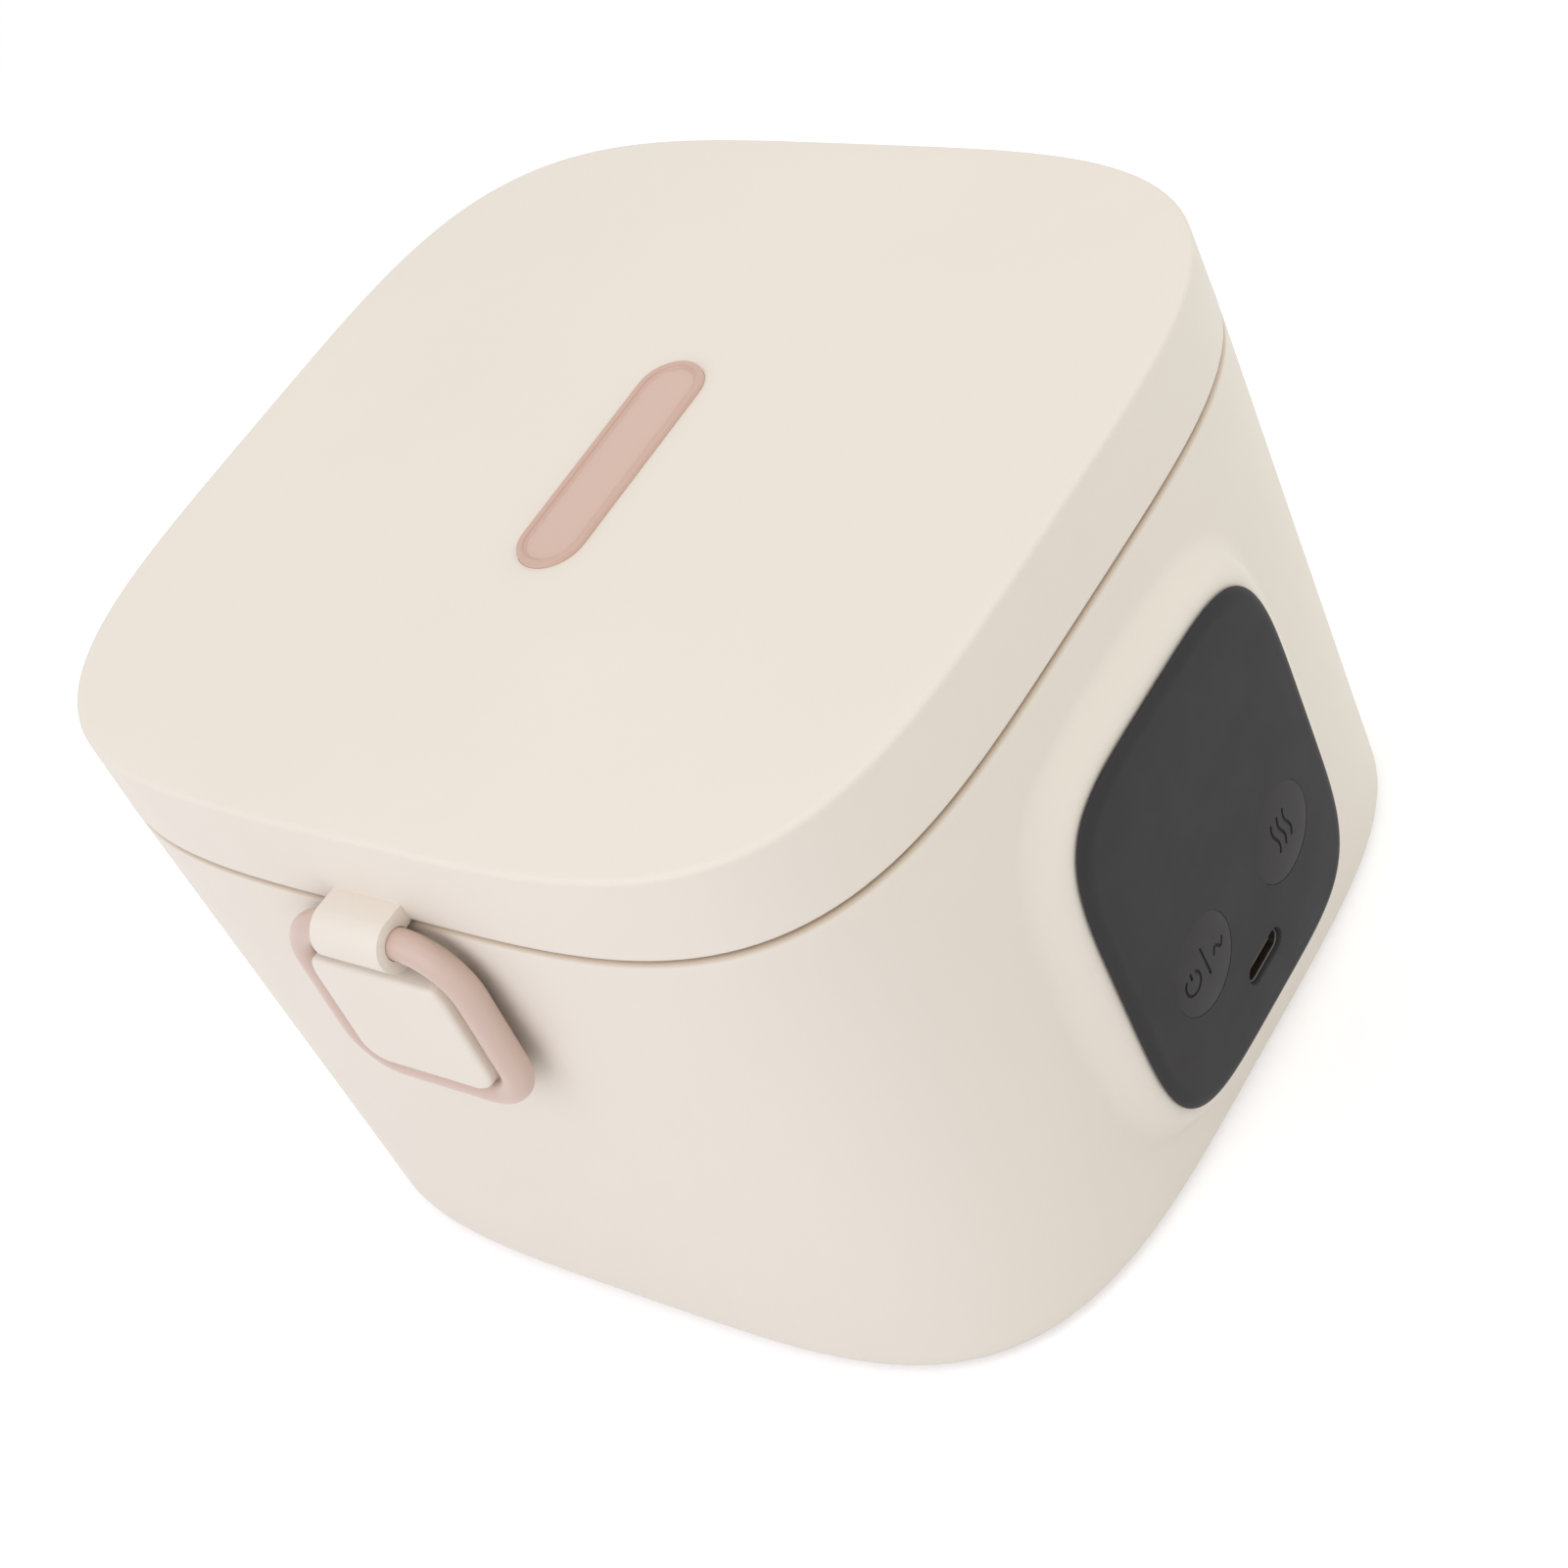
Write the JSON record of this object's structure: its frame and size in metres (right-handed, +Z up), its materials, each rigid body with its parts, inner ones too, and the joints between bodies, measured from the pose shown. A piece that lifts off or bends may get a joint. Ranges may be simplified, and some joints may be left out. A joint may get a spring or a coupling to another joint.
{
  "type": "electric lunch box",
  "caption": "Squircle electric lunch box with a hinged lid, a swing latch, a raised control panel with push buttons and a charging socket, and a steel food container in a heated well.",
  "frame": {"origin": "on the table, under the middle of the part's overall box", "axes": "+Z up; the control panel faces -Y; the latch is on -X and the hinge on +X"},
  "size_m": [0.1506, 0.1464, 0.1051],
  "materials": {
    "shell_plastic": "matte",
    "lid_plastic": "matte",
    "liner_plastic": "satin",
    "base_plastic": "matte",
    "panel_plastic": "matte",
    "button_plastic": "satin",
    "ring_plastic": "satin",
    "pad_plastic": "matte",
    "badge_plastic": "satin",
    "well_metal": "satin",
    "container_steel": "satin",
    "heater_metal": "satin",
    "film": "satin",
    "fuse_ceramic": "matte",
    "lead_cover": "satin",
    "insulation": "matte",
    "screw_steel": "satin",
    "foot_rubber": "matte",
    "board": "satin",
    "socket_steel": "satin",
    "tongue_plastic": "satin",
    "switch_plastic": "satin",
    "plunger_plastic": "satin",
    "pin_steel": "satin",
    "gasket_silicone": "matte"
  },
  "bodies": {
    "base": {"outer_shell": "shell_plastic", "rim_ring": "liner_plastic", "heating_well": "well_metal", "food_container": "container_steel", "insulation_sleeve": "insulation", "heater_plate": "heater_metal", "heating_film": "film", "temperature_sensor": "heater_metal", "thermal_fuse": "fuse_ceramic", "heater_leads": "lead_cover", "base_insulation": "insulation", "base_cover": "base_plastic", "base_screws": "screw_steel", "foot_front_left": "foot_rubber", "foot_front_right": "foot_rubber", "foot_rear_left": "foot_rubber", "foot_rear_right": "foot_rubber", "control_board": "board", "board_screws": "screw_steel", "usb_socket": "socket_steel", "usb_tongue": "tongue_plastic", "power_switch": "switch_plastic", "heat_switch": "switch_plastic", "control_panel": "panel_plastic", "hinge_pin": "pin_steel"},
    "lid": {"lid_shell": "lid_plastic", "lid_liner": "liner_plastic", "lid_gasket": "gasket_silicone", "lid_insulation": "insulation", "badge": "badge_plastic"},
    "latch": {"latch_ring": "ring_plastic", "latch_pad": "pad_plastic"},
    "power": {"power_button": "button_plastic", "power_plunger": "plunger_plastic"},
    "heat": {"heat_button": "button_plastic", "heat_plunger": "plunger_plastic"}
  },
  "joints": [
    {"name": "lid_open", "type": "hinge", "parent": "base", "child": "lid", "pos_m": [0.0719, 0.00293, 0.08965], "axis": [0, 1, 0], "range_deg": [0, 100]},
    {"name": "latch_swing", "type": "hinge", "parent": "lid", "child": "latch", "pos_m": [-0.0714, 0.00293, 0.0894], "axis": [0, 1, 0], "range_deg": [0, 110]},
    {"name": "power_press", "type": "slide", "parent": "base", "child": "power", "axis": [0, 1, 0], "range_m": [0, 0.0005], "stiffness_N_per_m": 2000, "springref_m": -0.0002},
    {"name": "heat_press", "type": "slide", "parent": "base", "child": "heat", "axis": [0, 1, 0], "range_m": [0, 0.0005], "stiffness_N_per_m": 2000, "springref_m": -0.0002}
  ]
}
